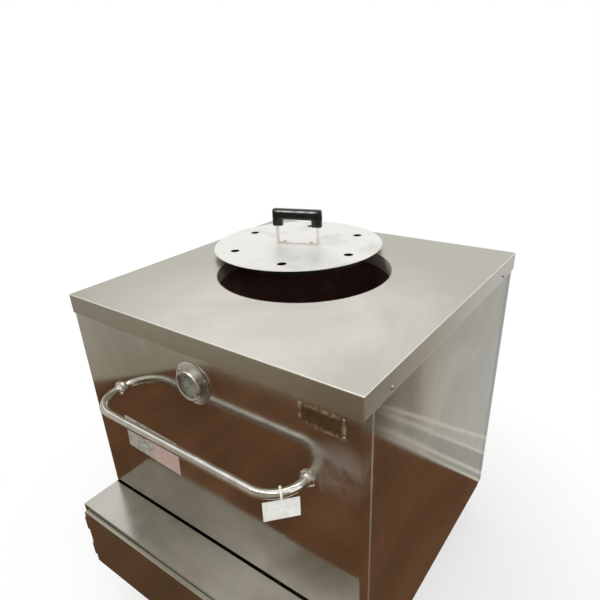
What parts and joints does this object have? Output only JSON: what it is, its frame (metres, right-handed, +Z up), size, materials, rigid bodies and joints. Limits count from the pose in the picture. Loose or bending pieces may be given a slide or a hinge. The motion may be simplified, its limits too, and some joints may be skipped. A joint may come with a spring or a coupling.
{
  "type": "clay tandoor oven",
  "caption": "Square stainless steel casing on castors round a bellied clay oven pot, with a round top mouth, loose vented lid, bent tube push handle, thermometer and low front service box.",
  "frame": {"origin": "on the floor under the centre of the outline", "axes": "+Z up, front with the thermometer and the push handle towards -Y, +X to the right for someone who faces the front"},
  "size_m": [0.8182, 0.9872, 1.0375],
  "materials": {
    "cover_steel": "fine brushed stainless sheet",
    "panel_steel": "brushed stainless sheet, nearly a mirror at a low angle",
    "lid_steel": "bright stainless sheet",
    "polished_steel": "polished stainless",
    "zinc_steel": "bright zinc plate, satin",
    "black_steel": "black paint, satin",
    "fired_clay": "unglazed, darkened by fire",
    "cast_iron": "rough casting",
    "brass": "turned",
    "plate_brass": "satin, blank",
    "mineral_wool": "loose mineral fibre",
    "black_plastic": "glossy phenolic",
    "red_plastic": "glossy",
    "white_plastic": "matt",
    "label_film": "smooth film, grey-white with a pale pink end, blank",
    "tag_card": "white card, blank",
    "clear_glass": "clear",
    "tyre_rubber": "solid rubber tread on its rim"
  },
  "bodies": {
    "casing": {"top_cover": "cover_steel", "mouth_collar": "cover_steel", "front_panel": "panel_steel", "left_panel": "panel_steel", "right_panel": "panel_steel", "rear_panel": "panel_steel", "inner_frame": "zinc_steel", "base_frame": "black_steel", "base_pan": "zinc_steel", "hearth_plate": "black_steel", "clay_pot": "fired_clay", "rim_gasket": "mineral_wool", "insulation": "mineral_wool", "burner": "cast_iron", "flame_spreader": "cast_iron", "gas_supply_pipe": "zinc_steel", "gas_valve": "brass", "burner_feed_pipe": "brass", "igniter": "black_plastic", "spark_lead": "white_plastic", "thermocouple": "brass", "service_box": "panel_steel", "door_hinge_pins": "polished_steel", "handle_tube": "polished_steel", "handle_sockets": "polished_steel", "thermometer_flange": "cover_steel", "thermometer_case": "polished_steel", "thermometer_dial": "white_plastic", "thermometer_lens": "clear_glass", "thermometer_bezel": "polished_steel", "thermometer_screws": "polished_steel", "nameplate": "plate_brass", "nameplate_rivets": "polished_steel", "blank_label": "label_film", "tag_tie": "white_plastic", "card_tag": "tag_card", "cover_screws": "polished_steel", "rear_panel_screws": "polished_steel", "castor_plates": "zinc_steel", "castor_bolts": "polished_steel"},
    "lid": {"lid_disc": "lid_steel", "lid_ring": "lid_steel", "lid_strap": "cover_steel", "lid_grip": "black_plastic", "lid_screws": "polished_steel"},
    "pointer": {"thermometer_pointer": "black_plastic"},
    "knob": {"control_knob": "black_plastic"},
    "button": {"igniter_button": "red_plastic"},
    "door": {"access_door": "cover_steel", "door_knob": "black_plastic"},
    "fork_front_left": {"castor_fork_front_left": "zinc_steel"},
    "wheel_front_left": {"castor_wheel_front_left": "tyre_rubber"},
    "fork_front_right": {"castor_fork_front_right": "zinc_steel"},
    "wheel_front_right": {"castor_wheel_front_right": "tyre_rubber"},
    "fork_rear_left": {"castor_fork_rear_left": "zinc_steel"},
    "wheel_rear_left": {"castor_wheel_rear_left": "tyre_rubber"},
    "fork_rear_right": {"castor_fork_rear_right": "zinc_steel"},
    "wheel_rear_right": {"castor_wheel_rear_right": "tyre_rubber"}
  },
  "joints": [
    {"name": "lid_lift", "type": "slide", "parent": "casing", "child": "lid", "axis": [0, 0, 1], "range_m": [0, 0.35]},
    {"name": "pointer_turn", "type": "hinge", "parent": "casing", "child": "pointer", "pos_m": [0, -0.34915, 0.806], "axis": [0, 1, 0], "range_deg": [0, 270]},
    {"name": "knob_turn", "type": "hinge", "parent": "casing", "child": "knob", "pos_m": [0.2499, -0.45915, 0.223], "axis": [0, -1, 0], "range_deg": [0, 180]},
    {"name": "igniter_press", "type": "slide", "parent": "casing", "child": "button", "axis": [0, 1, 0], "range_m": [0, 0.006], "stiffness_N_per_m": 300},
    {"name": "door_swing", "type": "hinge", "parent": "casing", "child": "door", "pos_m": [-0.3937, -0.46565, 0.2315], "axis": [0, 0, -1], "range_deg": [0, 110]},
    {"name": "castor_swivel_front_left", "type": "hinge", "parent": "casing", "child": "fork_front_left", "pos_m": [-0.3319, -0.27715, 0.105], "axis": [0, 0, 1], "continuous": true},
    {"name": "castor_roll_front_left", "type": "hinge", "parent": "fork_front_left", "child": "wheel_front_left", "pos_m": [-0.3319, -0.23915, 0.05], "axis": [1, 0, 0], "continuous": true},
    {"name": "castor_swivel_front_right", "type": "hinge", "parent": "casing", "child": "fork_front_right", "pos_m": [0.3319, -0.27715, 0.105], "axis": [0, 0, 1], "continuous": true},
    {"name": "castor_roll_front_right", "type": "hinge", "parent": "fork_front_right", "child": "wheel_front_right", "pos_m": [0.3319, -0.23915, 0.05], "axis": [1, 0, 0], "continuous": true},
    {"name": "castor_swivel_rear_left", "type": "hinge", "parent": "casing", "child": "fork_rear_left", "pos_m": [-0.3319, 0.39365, 0.105], "axis": [0, 0, 1], "continuous": true},
    {"name": "castor_roll_rear_left", "type": "hinge", "parent": "fork_rear_left", "child": "wheel_rear_left", "pos_m": [-0.3319, 0.43165, 0.05], "axis": [1, 0, 0], "continuous": true},
    {"name": "castor_swivel_rear_right", "type": "hinge", "parent": "casing", "child": "fork_rear_right", "pos_m": [0.3319, 0.39365, 0.105], "axis": [0, 0, 1], "continuous": true},
    {"name": "castor_roll_rear_right", "type": "hinge", "parent": "fork_rear_right", "child": "wheel_rear_right", "pos_m": [0.3319, 0.43165, 0.05], "axis": [1, 0, 0], "continuous": true}
  ]
}
